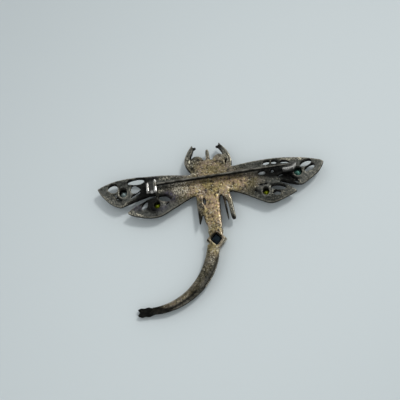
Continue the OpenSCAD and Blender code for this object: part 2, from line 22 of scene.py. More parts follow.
import bpy
import numpy as np
import openvdb as vdb
from mathutils import Matrix, Vector

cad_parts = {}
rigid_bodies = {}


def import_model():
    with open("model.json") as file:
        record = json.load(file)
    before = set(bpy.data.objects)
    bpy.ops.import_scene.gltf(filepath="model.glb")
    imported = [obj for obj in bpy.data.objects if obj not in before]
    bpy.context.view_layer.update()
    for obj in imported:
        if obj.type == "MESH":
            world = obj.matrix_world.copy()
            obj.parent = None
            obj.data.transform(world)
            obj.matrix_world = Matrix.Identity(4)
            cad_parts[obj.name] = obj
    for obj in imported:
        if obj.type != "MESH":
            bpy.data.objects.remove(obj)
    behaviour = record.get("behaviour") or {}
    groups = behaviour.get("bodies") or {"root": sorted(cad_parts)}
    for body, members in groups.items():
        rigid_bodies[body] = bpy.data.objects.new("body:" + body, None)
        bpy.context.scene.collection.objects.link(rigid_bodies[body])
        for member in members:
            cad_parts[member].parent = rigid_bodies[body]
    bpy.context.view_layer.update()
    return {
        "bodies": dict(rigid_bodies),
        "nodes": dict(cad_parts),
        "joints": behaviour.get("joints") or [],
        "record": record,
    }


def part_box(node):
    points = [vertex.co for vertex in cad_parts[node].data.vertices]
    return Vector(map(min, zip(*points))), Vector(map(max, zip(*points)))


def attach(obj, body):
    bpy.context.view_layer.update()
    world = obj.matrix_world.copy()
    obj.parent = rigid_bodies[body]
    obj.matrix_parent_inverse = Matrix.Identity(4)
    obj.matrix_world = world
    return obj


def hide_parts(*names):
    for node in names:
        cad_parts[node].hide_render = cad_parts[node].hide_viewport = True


LOG = logging.getLogger("brooch")
MM = 0.001
Colour = tuple[float, float, float]
Point = tuple[float, float, float]
Pair = tuple[float, float]
# Length under which a vector counts as nothing, and how many spreads a blur reaches
NO_LENGTH = 1e-6
BLUR_SPREADS = 2.5
# Near-black of tarnish and of painted shade
BLACK_TARNISH_AND_SHADE: Colour = (0.006, 0.006, 0.006)
# Middle of the tail's bend and of the lozenge, from the wing line
TAIL_MIDDLE: Pair = (-19.6, -17.6)
LOZENGE_MIDDLE: Pair = (0.3, -17.6)


class Mask(Enum):
    """Named values that the skin's points carry for its finish."""

    WARM = "warm"
    # Tarnish, with painted shadow and shade
    DARK = "dark"
    TINT = "tint"
    # Rubbed places with painted glints and highlights
    RUB_AND_GLINT = "rub_and_glint"
    # Edges with wear and a painted highlight
    EDGE = "edge"
    # Patina in hollows and pits, with painted shade where walls face each other
    HOLLOW = "hollow"


def ramp(values: np.ndarray, start: float, end: float) -> np.ndarray:
    """Stretches values so that they go from 0 at the start to 1 at the end, clamped."""
    return np.clip((values - start) / (end - start), 0, 1)


@dataclass(frozen=True)
class Spot:
    """A soft oval spot on the brooch's back, placed from the wing line.

    Attributes:
        x: Place across.
        y: Place along.
        wide: Reach along its own first axis.
        high: Reach along its second one.
        amount: Strength in its middle.
        turn: Turn of its first axis from X, in degrees.
        fall: Sharpness of its edge.
    """

    x: float
    y: float
    wide: float
    high: float
    amount: float
    turn: float = 0.0
    fall: float = 1.3

    def at(self, x: np.ndarray, y: np.ndarray) -> np.ndarray:
        """Gives the spot's strength at places.

        Args:
            x: Places across, from the wing line's middle.
            y: Places along, from the wing line.

        Returns:
            One strength for each place.
        """
        cos, sin = math.cos(math.radians(self.turn)), math.sin(math.radians(self.turn))
        along = ((x - self.x) * cos + (y - self.y) * sin) / self.wide
        across = ((y - self.y) * cos - (x - self.x) * sin) / self.high
        return self.amount * np.exp(-(along**2 + across**2) ** self.fall)


@dataclass(frozen=True)
class Streak:
    """A soft streak that follows the tail's bend.

    Attributes:
        radius: Distance from the middle of the bend.
        start: Angle where it starts, in degrees down from the tail's top.
        end: Angle where it ends.
        wide: Reach to both sides.
        amount: Strength along its middle.
        fade: Angle over which both ends fade.
    """

    radius: float
    start: float
    end: float
    wide: float
    amount: float
    fade: float = 5.0

    def at(self, x: np.ndarray, y: np.ndarray) -> np.ndarray:
        """Gives the streak's strength at places.

        Args:
            x: Places across, from the wing line's middle.
            y: Places along, from the wing line.

        Returns:
            One strength for each place.
        """
        across, down = x - TAIL_MIDDLE[0], TAIL_MIDDLE[1] - y
        angle = np.degrees(np.arctan2(down, across))
        off = (np.hypot(across, down) - self.radius) / self.wide
        ends = ramp(angle, self.start, self.start + self.fade) * ramp(angle, self.end, self.end - self.fade)
        return self.amount * ends * np.exp(-(off**2))


# Where walls get no painted shade, and where the casting is warm, dark with tarnish and painted shade, shiny
# with painted highlights, tinted, or rubbed with painted glints, part by part
NO_WALL_SHADE_SPOTS = (Spot(*LOZENGE_MIDDLE, 4.4, 4.8, 1.0),)
WARM_SPOTS = (
    Spot(0.8, -1.5, 9, 4.6, 0.9), Spot(0.3, -10, 3.4, 8.5, 1.0), Spot(5.5, -1.5, 3.5, 2.5, 0.4),
    Spot(-4, -2, 3, 2.2, 0.35, 20), Spot(0.5, 5.5, 6, 3.2, 0.55), Spot(10, -1, 5, 2.5, 0.35, -5),
    Spot(-0.3, -20, 2.4, 3, 0.6), Spot(-11, -1.5, 5, 2.6, 0.1, 20),
)
# Painted shadow of the hinge on the wing round it, with some tarnish
DARK_ROUND_HINGE = (
    Spot(-20.5, 1.4, 1.8, 3, 1.6, -10), Spot(-18.6, -3.2, 3, 2.2, 1.7, -10),
    Spot(-17.4, -5.8, 2.2, 1.5, 1.2, -10), Spot(-12.8, -2.9, 2, 0.8, 1.1, -30),
    Spot(-17, 3.4, 2.7, 0.8, 1.0),
)
# Painted shadow of the pin on the casting under it, with some dirt
DARK_UNDER_PIN = (
    Spot(2.5, 1.8, 16, 0.6, 1.3, 1.5), Spot(-1.5, 0.5, 3, 0.6, 0.5), Spot(7.5, 0.9, 2.5, 0.9, 0.6),
)
# Painted shadow of the catch on the wing round it, and dark marks in the slots there
DARK_ROUND_CATCH = (
    Spot(19.2, 1, 3.5, 1.5, 1.4), Spot(22.3, -0.7, 3, 1.3, 1.4, -30), Spot(24.5, -2.3, 2, 0.7, 1.3, -45),
    Spot(26.5, -0.3, 1.1, 1.3, 0.4), Spot(16, 0.2, 2.5, 0.9, 0.7, -10), Spot(20.3, 3.7, 3, 0.7, 0.8),
    Spot(14, -4.6, 2, 0.8, 0.8, -40), Spot(29, 1, 2.5, 3, 0.15, -40),
)
DARK_TAIL_END = (
    Spot(-22, -37, 4.7, 3, 2.4), Spot(-17, -37, 3, 0.9, 1.0),
)
# Painted shade on the inner legs and in the gaps beside them
DARK_LEGS = (
    Spot(-4.1, -10.8, 0.8, 2.5, 1.4), Spot(-3.1, -5.2, 0.7, 1.1, 0.8), Spot(3.4, 11.2, 1.3, 1, 1.0),
    Spot(3.3, -5.4, 1, 0.8, 1.2), Spot(4.3, -8.8, 0.5, 2.7, 1.2, 7), Spot(5.7, -11.7, 0.9, 0.5, 1.3, -30),
)
HEAD_PITS = (
    Spot(4.3, 5.8, 0.4, 0.4, 1.6), Spot(5.4, 6.7, 0.4, 0.4, 1.3), Spot(-1.6, 7.5, 0.4, 0.3, 1.3),
    Spot(0.8, 7.8, 0.3, 0.3, 1.2), Spot(-4.9, 5.1, 1, 0.4, 1.1, -40), Spot(-3, 7.8, 0.5, 0.4, 0.8),
    Spot(2.7, 6.7, 0.4, 0.3, 0.8),
)
BODY_PATCHES = (
    Spot(-0.3, -10.3, 1.1, 1.3, 0.4), Spot(2, -6, 0.7, 1.5, 0.4), Spot(0.2, -13.5, 0.7, 0.9, 0.3),
    Spot(-1, -6.5, 0.5, 1.3, 0.3), Spot(9, -4, 3, 1.3, 0.2, -20), Spot(4.5, 0.2, 2, 0.8, 0.3),
    Spot(-6, -4.3, 2.5, 1.2, 0.3, -30), Spot(-0.5, -16.4, 1.2, 1.5, 0.3),
)
LEFT_TIP_PATCHES = (
    Spot(-27.5, -1.9, 1.9, 0.8, 0.8, -35), Spot(-24, 3.3, 4, 0.5, 0.7, 5), Spot(-29.2, 1.7, 0.6, 1.1, 0.6),
)
DARK_SPOTS = (
    *DARK_ROUND_HINGE, *DARK_UNDER_PIN, *DARK_ROUND_CATCH, *DARK_TAIL_END, *DARK_LEGS, *HEAD_PITS,
    *BODY_PATCHES, *LEFT_TIP_PATCHES,
)
# Painted highlights on the hinge's knuckles and the catch's curl, made bright by the fittings' finish
SHINE_SPOTS = (
    Spot(-18.5, 0.9, 0.5, 1, 0.7), Spot(-18.7, -0.4, 0.6, 0.5, 1.4), Spot(-17.4, -0.8, 0.4, 0.5, 1.2),
    Spot(-16.1, 0.1, 0.4, 1.3, 0.9), Spot(-16.3, -0.9, 0.5, 0.4, 1.2), Spot(-15.6, 1.8, 1, 0.4, 0.6),
    Spot(23.3, 0.9, 1.5, 0.5, 1.6, 5), Spot(23.2, 0.7, 0.8, 0.4, 1.4), Spot(24.1, 1.2, 0.8, 0.5, 1.0, 15),
    Spot(25.3, 1.9, 1, 0.4, 1.0, 40),
)
TINT_SPOTS = (
    Spot(-11.7, -3, 1.7, 1.7, 1.0), Spot(-13.2, -1.6, 1.3, 1, 0.6), Spot(-15, -6.2, 1.8, 1, 0.7),
    Spot(-22.4, -5, 2.3, 1.1, 0.7), Spot(-17, 4, 1.7, 0.4, 0.7), Spot(-1.8, -2.8, 1.3, 0.7, 0.6),
    Spot(-8.2, 3.6, 3, 0.6, 0.4), Spot(-10.4, 1.2, 3, 1, 0.3),
)
# Rubbed places with painted glints, turned into pale specks by the skin's finish; wings, body and legs
RUBS_AND_GLINTS_RIGHT_WING = (
    Spot(23.2, 4.3, 1.7, 0.4, 1.2, -5), Spot(27, 4, 1.2, 0.4, 1.4, -5), Spot(17, 4, 0.8, 0.6, 0.9),
    Spot(19, 4.2, 0.7, 0.4, 0.8), Spot(25.4, -2.7, 1.3, 0.4, 0.7, -30),
    Spot(12.7, -6.8, 3.5, 0.3, 0.6, -25), Spot(21.6, -7.8, 3, 0.3, 0.7, 20), Spot(16.5, 1, 1.1, 0.6, 0.5),
    Spot(21, -5.8, 3.5, 1.5, 0.2), Spot(29, 0, 2.5, 2.5, 0.2),
)
RUBS_AND_GLINTS_LEFT_WING = (
    Spot(-24, -6.5, 1, 0.6, 1.2), Spot(-22, -7.4, 1.6, 0.4, 1.1, -20), Spot(-26, -3.8, 2, 0.4, 0.7, 27),
    Spot(-30.5, -1.8, 3, 0.3, 0.5, -50), Spot(-28, -1, 3, 2.5, 0.25, -30), Spot(-8.6, -1.3, 2.6, 1.4, 1.0),
    Spot(-11, 0.2, 1.6, 0.9, 0.9), Spot(-13.2, 3.2, 3, 0.5, 0.7), Spot(-8.4, 1, 2, 0.7, 0.8),
    Spot(-15.3, -0.6, 1.5, 0.9, 0.7), Spot(-5.2, 3.2, 1.5, 0.4, 0.8),
)
RUBS_AND_GLINTS_BODY = (
    Spot(-1.3, -22.9, 0.6, 3, 0.7, -10), Spot(0.4, -20.4, 0.7, 1, 0.8, -30), Spot(3.5, -4.5, 1.3, 1.7, 0.5),
    Spot(0.9, -12.7, 1.5, 1.5, 0.3), Spot(-0.3, -9.2, 0.7, 0.8, 0.3), Spot(-3.8, -1.6, 1.1, 1.7, 0.6),
    Spot(5.8, -2.4, 1.4, 1.2, 0.6), Spot(-2.3, -3.9, 0.8, 1.5, 0.5), Spot(-1.2, -14.3, 1.1, 1.1, 0.3),
)
RUBS_AND_GLINTS_LEGS = (
    Spot(-5.3, 7.8, 1.7, 3.1, 0.4, -20), Spot(5.4, 7.7, 1.7, 2.3, 0.4, 30), Spot(5.6, -8.4, 1, 2.9, 0.3),
)
RUB_AND_GLINT_SPOTS = (*RUBS_AND_GLINTS_RIGHT_WING, *RUBS_AND_GLINTS_LEFT_WING, *RUBS_AND_GLINTS_BODY, *RUBS_AND_GLINTS_LEGS)
DARK_STREAKS = (
    Streak(19.5, 46, 92, 0.35, 0.9), Streak(20.3, 12, 60, 0.4, 0.3), Streak(17.3, 8, 50, 0.3, 0.3),
    Streak(18.9, 28, 60, 0.9, 0.25), Streak(20.5, 9, 46, 0.3, 0.6),
)
WARM_STREAKS = (
    Streak(18.4, 5, 95, 1.6, 0.2), Streak(18.6, 50, 86, 0.4, 0.2),
)
# Painted highlights along the tail, with some rubbing
RUB_AND_HIGHLIGHT_STREAKS = (
    Streak(18.7, 52, 84, 0.25, 0.35), Streak(18.1, 14, 40, 0.4, 0.12), Streak(20.6, 44, 76, 0.15, 0.4),
)


def between(lattice: np.ndarray, cells: np.ndarray, share: np.ndarray) -> np.ndarray:
    """Blends the eight values of a lattice that lie round each place.

    Args:
        lattice: Values indexed by x, y and z.
        cells: Lowest corner round each place.
        share: Share of the way to the highest corner, on each axis.

    Returns:
        One value for each place.
    """
    total = np.zeros(len(cells))
    for step in itertools.product((0, 1), repeat=3):
        weight = np.prod(np.where(step, share, 1 - share), axis=1)
        total += weight * lattice[cells[:, 0] + step[0], cells[:, 1] + step[1], cells[:, 2] + step[2]]
    return total


def noise_at(points: np.ndarray, cell: float, seed: int) -> np.ndarray:
    """Gives smooth seeded noise at points.

    Args:
        points: Places in millimetres, one to a row.
        cell: Size of the noise's cells, in millimetres.
        seed: Seed of its lattice.

    Returns:
        Values from 0 to 1, one for each point.
    """
    scaled = (points - points.min(axis=0)) / cell + 0.5
    cells = np.floor(scaled).astype(int)
    share = scaled - cells
    share = share * share * (3 - 2 * share)
    lattice = np.random.default_rng(seed).random(tuple(cells.max(axis=0) + 2))
    return between(lattice, cells, share)


@dataclass
class DistanceField:
    """Signed distances to a surface on an even grid, below zero inside.

    Attributes:
        values: Distances, indexed by x, y and z.
        corner: Place of the first value.
        step: Spacing of the grid.
    """

    values: np.ndarray
    corner: np.ndarray
    step: float

    @classmethod
    def of_node(cls, node: bpy.types.Object, step: float, band: int,
                low: Vector, high: Vector) -> DistanceField:
        """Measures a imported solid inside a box.

        Args:
            node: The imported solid's object.
            step: Spacing of the grid.
            band: Reach of true distances, in grid steps.
            low: Lowest corner of the box.
            high: Highest corner of the box.

        Returns:
            The field of the box.
        """
        mesh = node.data
        mesh.calc_loop_triangles()
        points = np.empty(len(mesh.vertices) * 3, np.float32)
        mesh.vertices.foreach_get("co", points)
        corners = np.empty(len(mesh.loop_triangles) * 3, np.int32)
        mesh.loop_triangles.foreach_get("vertices", corners)
        grid = vdb.FloatGrid.createLevelSetFromPolygons(
            points.reshape(-1, 3) / np.float32(MM),
            triangles=corners.astype(np.uint32).reshape(-1, 3),
            transform=vdb.createLinearTransform(voxelSize=step),
            halfWidth=float(band),
        )
        first = np.floor(np.array(low) / step).astype(int)
        count = np.ceil(np.array(high) / step).astype(int) - first + 1
        values = np.zeros(tuple(count), np.float32)
        grid.copyToArray(values, ijk=tuple(int(value) for value in first))
        return cls(values, first * step, step)

    def axis(self, index: int) -> np.ndarray:
        """Gives the grid's places along one axis, shaped to spread over the others.

        Args:
            index: Number of the axis.

        Returns:
            Places in millimetres.
        """
        shape = [1, 1, 1]
        shape[index] = -1
        places = self.corner[index] + self.step * np.arange(self.values.shape[index])
        return places.astype(np.float32).reshape(shape)

    def blurred(self, reach: float) -> DistanceField:
        """Softens the field.

        Args:
            reach: Spread of the softening, in millimetres.

        Returns:
            A new field.
        """
        spread = reach / self.step
        radius = max(1, math.ceil(BLUR_SPREADS * spread))
        weights = np.exp(-0.5 * (np.arange(-radius, radius + 1) / spread) ** 2)
        weights /= weights.sum()
        values = self.values
        for axis in range(3):
            pads = [(radius, radius) if other == axis else (0, 0) for other in range(3)]
            padded = np.pad(values, pads, mode="edge")
            count = values.shape[axis]
            parts = [padded.take(range(k, k + count), axis=axis) * np.float32(weight)
                     for k, weight in enumerate(weights)]
            values = np.sum(parts, axis=0, dtype=np.float32)
        return DistanceField(values, self.corner, self.step)

    def at(self, points: np.ndarray) -> np.ndarray:
        """Reads the field at points.

        Args:
            points: Places in millimetres, one to a row.

        Returns:
            One distance for each point.
        """
        place = (points - self.corner) / self.step
        cells = np.clip(np.floor(place).astype(int), 0, np.array(self.values.shape) - 2)
        return between(self.values, cells, np.clip(place - cells, 0, 1))

    def outward(self, points: np.ndarray) -> np.ndarray:
        """Gives the way out of the surface at points.

        Args:
            points: Places in millimetres, one to a row.

        Returns:
            A unit vector for each point.
        """
        reach = np.eye(3) * self.step
        ways = np.stack([self.at(points + way) - self.at(points - way) for way in reach], axis=1)
        return ways / np.maximum(np.linalg.norm(ways, axis=1, keepdims=True), NO_LENGTH)

    def surface(self) -> tuple[np.ndarray, np.ndarray]:
        """Meshes the field's surface.

        Returns:
            Points in millimetres and four corners for each face, which points outwards.
        """
        grid = vdb.FloatGrid(float(self.values.max()))
        grid.transform = vdb.createLinearTransform(voxelSize=self.step)
        grid.copyFromArray(np.ascontiguousarray(self.values, dtype=np.float32))
        points, quads = grid.convertToQuads(0.0)
        points = points.astype(float)
        a, b, c = (points[quads[:, k]] for k in (0, 1, 2))
        if np.einsum("ij,ij->i", a, np.cross(b, c)).sum() < 0:
            quads = quads[:, ::-1]
        return points + self.corner, quads


def show(name: str, data: bpy.types.ID) -> bpy.types.Object:
    """Adds an object to the scene.

    Args:
        name: Its name.
        data: Its mesh, lamp or camera.

    Returns:
        The new object, at the origin.
    """
    made = bpy.data.objects.new(name, data)
    bpy.context.scene.collection.objects.link(made)
    return made


def make_piece(name: str, points: np.ndarray, quads: np.ndarray,
               masks: dict[Mask, np.ndarray]) -> bpy.types.Object:
    """Makes a smooth mesh piece with its masks.

    Args:
        name: Name of the piece.
        points: Places in millimetres, one to a row.
        quads: Four corners for each face.
        masks: Values for each point.

    Returns:
        The new object, at the origin.
    """
    mesh = bpy.data.meshes.new(name)
    mesh.from_pydata((points * MM).tolist(), [], quads.tolist())
    mesh.shade_smooth()
    for mask, values in masks.items():
        layer = mesh.attributes.new(mask.value, "FLOAT", "POINT")
        layer.data.foreach_set("value", np.clip(values, 0, 1).astype(np.float32))
    mesh.validate()
    LOG.info("%s: %d faces", name, len(quads))
    return show(name, mesh)


def feed(socket: bpy.types.NodeSocket, value: Value | float | Point) -> None:
    """Links or sets an input.

    Args:
        socket: The input.
        value: A value to link, a number, a colour or a vector.
    """
    if isinstance(value, Value):
        value.tree.links.new(value.socket, socket)
    elif socket.type == "RGBA":
        socket.default_value = (*value, 1.0)
    else:
        socket.default_value = value


def add_node(tree: bpy.types.NodeTree, kind: str, inputs: dict[str | int, Value | float | Point],
             output: str | int = 0, **settings: str | bool) -> Value:
    """Adds a node and gives one of its outputs.

    Args:
        tree: The node tree.
        kind: Type of the node.
        inputs: Values, numbers, colours or vectors for its inputs.
        output: Name or number of the output.
        **settings: Options of the node, set first.

    Returns:
        The output.
    """
    node = tree.nodes.new(kind)
    for name, setting in settings.items():
        setattr(node, name, setting)
    for name, value in inputs.items():
        feed(node.inputs[name], value)
    return Value(tree, node.outputs[output])


@dataclass(frozen=True)
class Value:
    """An output in a node tree, with arithmetic that is clamped from 0 to 1."""

    tree: bpy.types.NodeTree
    socket: bpy.types.NodeSocket

    def _join(self, way: str, other: Value | float) -> Value:
        """Joins the value with another one."""
        return add_node(self.tree, "ShaderNodeMath", {0: self, 1: other}, operation=way, use_clamp=True)

    def __add__(self, other: Value | float) -> Value:
        """Adds a value."""
        return self._join("ADD", other)

    def __sub__(self, other: Value | float) -> Value:
        """Takes a value away."""
        return self._join("SUBTRACT", other)

    def __mul__(self, other: Value | float) -> Value:
        """Multiplies by a value."""
        return self._join("MULTIPLY", other)

    def span(self, low: float, high: float, to_low: float = 0.0, to_high: float = 1.0,
             way: str = "LINEAR") -> Value:
        """Stretches the value's span, clamped.

        Args:
            low: Where the span starts.
            high: Where it ends.
            to_low: Result at the start.
            to_high: Result at the end.
            way: Blender's name for the way between them.

        Returns:
            The stretched value.
        """
        inputs = {"Value": self, "From Min": low, "From Max": high, "To Min": to_low, "To Max": to_high}
        return add_node(self.tree, "ShaderNodeMapRange", inputs, "Result", interpolation_type=way)


class Recipe:
    """Builds the node tree of one finish, with patterns on Object coordinates in millimetres."""

    def __init__(self, name: str) -> None:
        """Starts a material.

        Args:
            name: Name of the material.
        """
        self.material = bpy.data.materials.new(name)
        self.material.use_nodes = True
        self.tree = self.material.node_tree
        self.tree.nodes.clear()
        self.shader = self.tree.nodes.new("ShaderNodeBsdfPrincipled")
        end = self.tree.nodes.new("ShaderNodeOutputMaterial")
        feed(end.inputs["Surface"], Value(self.tree, self.shader.outputs["BSDF"]))
        place = add_node(self.tree, "ShaderNodeTexCoord", {}, "Object")
        scale = (1 / MM, 1 / MM, 1 / MM)
        self._place = add_node(self.tree, "ShaderNodeMapping", {"Vector": place, "Scale": scale})

    def set(self, **inputs: Value | float | Colour) -> None:
        """Feeds the shader's inputs, whose names are written with underscores.

        Args:
            **inputs: Values, numbers or colours.
        """
        for name, value in inputs.items():
            feed(self.shader.inputs[name.replace("_", " ").title().replace("Ior", "IOR")], value)

    def noise(self, scale: float, detail: float = 3.0, roughness: float = 0.6,
              stretch: Point = (1.0, 1.0, 1.0), turn: float = 0.0) -> Value:
        """Adds noise.

        Args:
            scale: Rough number of features in a millimetre.
            detail: Octaves.
            roughness: Share of the finer octaves.
            stretch: Scale on each axis.
            turn: Turn about Z, in degrees.

        Returns:
            The noise's value.
        """
        frame = {"Vector": self._place, "Scale": stretch, "Rotation": (0.0, 0.0, math.radians(turn))}
        place = add_node(self.tree, "ShaderNodeMapping", frame)
        inputs = {"Vector": place, "Scale": scale, "Detail": detail, "Roughness": roughness}
        return add_node(self.tree, "ShaderNodeTexNoise", inputs, "Fac")

    def mask(self, mask: Mask) -> Value:
        """Reads one of the piece's masks."""
        return add_node(self.tree, "ShaderNodeAttribute", {}, "Fac", attribute_name=mask.value)

    def blend(self, share: Value | float, a: Value | Colour, b: Value | Colour) -> Value:
        """Blends two colours by the share of the second."""
        # Of a mix node, inputs 6 and 7 and output 2 are those for a colour
        return add_node(self.tree, "ShaderNodeMix", {0: share, 6: a, 7: b}, 2, data_type="RGBA")

    def bump(self, height: Value, strength: float, depth: float, under: Value | None = None) -> Value:
        """Adds relief.

        Args:
            height: Its pattern.
            strength: Its strength, from 0 to 1.
            depth: Its depth in millimetres.
            under: Relief that it lies on.

        Returns:
            The bent normal.
        """
        below = {} if under is None else {"Normal": under}
        inputs = {"Strength": strength, "Distance": depth * MM, "Height": height, **below}
        return add_node(self.tree, "ShaderNodeBump", inputs, "Normal")


@dataclass(frozen=True)
class CastFinish:
    """Old grainy silver: gunmetal wings, a warm tan body, dark hollows with painted shade, and pale rubbed
    high places with painted glints and edge highlights.
    """

    grey: Colour = (0.098, 0.101, 0.091)
    deep_grey: Colour = (0.018, 0.020, 0.017)
    tan: Colour = (0.280, 0.217, 0.092)
    pink: Colour = (0.370, 0.262, 0.170)
    gold: Colour = (0.500, 0.395, 0.155)
    brown: Colour = (0.060, 0.044, 0.022)
    violet: Colour = (0.060, 0.052, 0.090)
    pale: Colour = (0.680, 0.635, 0.500)

    def build(self) -> bpy.types.Material:
        """Builds the finish.

        Returns:
            The material.
        """
        recipe = Recipe("aged_cast_silver")
        grain = recipe.noise(1.3, detail=4.0, roughness=0.62)
        fleck = recipe.noise(1.6, detail=2.0, roughness=0.5)
        speck = recipe.noise(2.4, detail=3.0, roughness=0.7)
        cloud = recipe.noise(0.24, detail=3.0, roughness=0.55)
        patch = recipe.noise(0.6, detail=2.0)
        warmth, black = recipe.mask(Mask.WARM), recipe.mask(Mask.DARK)
        shade = grain * 0.5 + cloud * 0.5
        age = grain * 0.6 + patch * 0.4
        cool = recipe.blend(shade.span(0.42, 0.58), self.deep_grey, self.grey)
        warm = recipe.blend(cloud.span(0.42, 0.55), self.tan, self.pink)
        warm = recipe.blend(fleck.span(0.52, 0.60, 0.0, 0.8), warm, self.gold)
        warm = recipe.blend(age.span(0.41, 0.49, 1.0, 0.0), warm, self.brown)
        colour = recipe.blend(warmth * cloud.span(0.3, 0.5, 0.7, 1.0), cool, warm)
        tint = recipe.mask(Mask.TINT) * fleck.span(0.35, 0.6)
        colour = recipe.blend(tint, colour, self.violet)
        # Rubbed places with painted glints, as pale specks
        rubs_and_glints = recipe.mask(Mask.RUB_AND_GLINT) * speck.span(0.49, 0.57)
        # Edges with wear and a painted highlight
        worn_and_lit_edges = recipe.mask(Mask.EDGE) * grain.span(0.35, 0.65, 0.1, 0.4)
        # Painted glints over the warm grain
        sparks = speck.span(0.58, 0.68) * warmth.span(0.0, 0.45, 0.25, 1.0)
        colour = recipe.blend(rubs_and_glints + worn_and_lit_edges + sparks, colour, self.pale)
        # Black of tarnish, and painted shade from the dark and hollow masks
        tarnish_and_shade = (black + recipe.mask(Mask.HOLLOW) * 0.5) * grain.span(0.3, 0.62, 1.0, 0.85)
        colour = recipe.blend(tarnish_and_shade, colour, BLACK_TARNISH_AND_SHADE)
        rough = grain.span(0.3, 0.7, 0.34, 0.5) + tarnish_and_shade * 0.2
        relief = recipe.bump(grain, 0.5, 0.14)
        relief = recipe.bump(speck, 0.4, 0.05, under=relief)
        metal = black.span(0.2, 0.9, 0.8, 1.0)
        recipe.set(base_color=colour, metallic=metal, roughness=rough, normal=relief)
        return recipe.material


@dataclass(frozen=True)
class FittingFinish:
    """Bright metal of the soldered hinge and catch with wear and painted highlights, black with painted shade
    at its foot and on its tail's side.
    """

    bright: Colour = (0.62, 0.61, 0.58)
    dull: Colour = (0.115, 0.113, 0.105)

    def build(self) -> bpy.types.Material:
        """Builds the finish.

        Returns:
            The material.
        """
        recipe = Recipe("worn_fitting")
        cloud = recipe.noise(0.9, detail=3.0)
        scratch = recipe.noise(4.0, detail=2.0, stretch=(1.0, 0.15, 1.0), turn=-1.5)
        rub_and_glint = recipe.mask(Mask.RUB_AND_GLINT)
        # Painted shade at the foot and on the tail's side, and dark hollows
        tarnish_and_shade = recipe.mask(Mask.DARK) + recipe.mask(Mask.HOLLOW)
        tarnish_and_shade = tarnish_and_shade * cloud.span(0.3, 0.7, 1.0, 0.75) - rub_and_glint * 0.8
        # Painted highlights at listed spots
        shine = rub_and_glint * cloud.span(0.3, 0.55, 0.7, 1.0)
        colour = recipe.blend(cloud.span(0.4, 0.65, 0.0, 0.7), self.dull, BLACK_TARNISH_AND_SHADE)
        colour = recipe.blend(shine, colour, self.bright)
        colour = recipe.blend(tarnish_and_shade, colour, BLACK_TARNISH_AND_SHADE)
        rough = scratch.span(0.3, 0.7, 0.2, 0.36) + tarnish_and_shade * 0.3
        relief = recipe.bump(scratch, 0.25, 0.02)
        recipe.set(base_color=colour, metallic=1.0, roughness=rough, normal=relief)
        return recipe.material


@dataclass(frozen=True)
class WireFinish:
    """Worn wire, rivet or beads with fine scratches along one way, patches of tarnish, and painted shade
    where a dark mask is set.
    """

    name: str
    bright: Colour
    dull: Colour
    along: Point

    def build(self) -> bpy.types.Material:
        """Builds the finish.

        Returns:
            The material.
        """
        recipe = Recipe(self.name)
        cloud = recipe.noise(0.55, detail=4.0, roughness=0.65)
        scratch = recipe.noise(6.0, detail=2.0, stretch=self.along, turn=-1.5)
        colour = recipe.blend(cloud.span(0.42, 0.62), self.bright, self.dull)
        # Painted shade where the piece has a dark mask, as on the pin's tail's side
        colour = recipe.blend(recipe.mask(Mask.DARK), colour, BLACK_TARNISH_AND_SHADE)
        rough = scratch.span(0.3, 0.7, 0.22, 0.38) + cloud.span(0.4, 0.7, 0.0, 0.12)
        relief = recipe.bump(scratch, 0.3, 0.015)
        recipe.set(base_color=colour, metallic=1.0, roughness=rough, normal=relief)
        return recipe.material


PIN_WIRE = WireFinish("pin_wire_metal", (0.21, 0.20, 0.17), (0.050, 0.046, 0.038), (0.12, 1.0, 1.0))
RIVET = WireFinish("rivet_metal", (0.68, 0.67, 0.64), (0.34, 0.33, 0.31), (1.0, 0.2, 1.0))
# Pale, as beads with wear and painted highlights
BEADS = WireFinish("bead_metal", (0.56, 0.53, 0.45), (0.16, 0.15, 0.12), (1.0, 1.0, 1.0))


@dataclass(frozen=True)
class StoneFinish:
    """Cut glass seen from behind, cloudy and glossy."""

    name: str
    light: Colour
    deep: Colour
    coat: float = 0.6
    gloss: float = 0.5

    def build(self) -> bpy.types.Material:
        """Builds the finish.

        Returns:
            The material.
        """
        recipe = Recipe(self.name)
        cloud = recipe.noise(0.8, detail=2.0)
        colour = recipe.blend(cloud.span(0.38, 0.62), self.light, self.deep)
        recipe.set(base_color=colour, roughness=0.07, ior=1.6, specular_ior_level=self.gloss,
                   coat_weight=self.coat, coat_roughness=0.04)
        return recipe.material


STONES = {
    "stone_left_forewing": StoneFinish("blue_glass", (0.50, 0.62, 0.60), (0.36, 0.46, 0.45)),
    "stone_right_forewing": StoneFinish("teal_glass", (0.12, 0.34, 0.27), (0.20, 0.46, 0.38)),
    "stone_left_hindwing": StoneFinish("olive_glass", (0.40, 0.48, 0.020), (0.20, 0.26, 0.010)),
    "stone_right_hindwing": StoneFinish("olive_glass_right", (0.44, 0.50, 0.022), (0.26, 0.30, 0.010)),
    "lozenge_stone": StoneFinish("dark_glass", (0.009, 0.018, 0.024), (0.003, 0.005, 0.008), 0.0, 0.12),
}
ROUND_STONES = tuple(name for name in STONES if name.startswith("stone"))


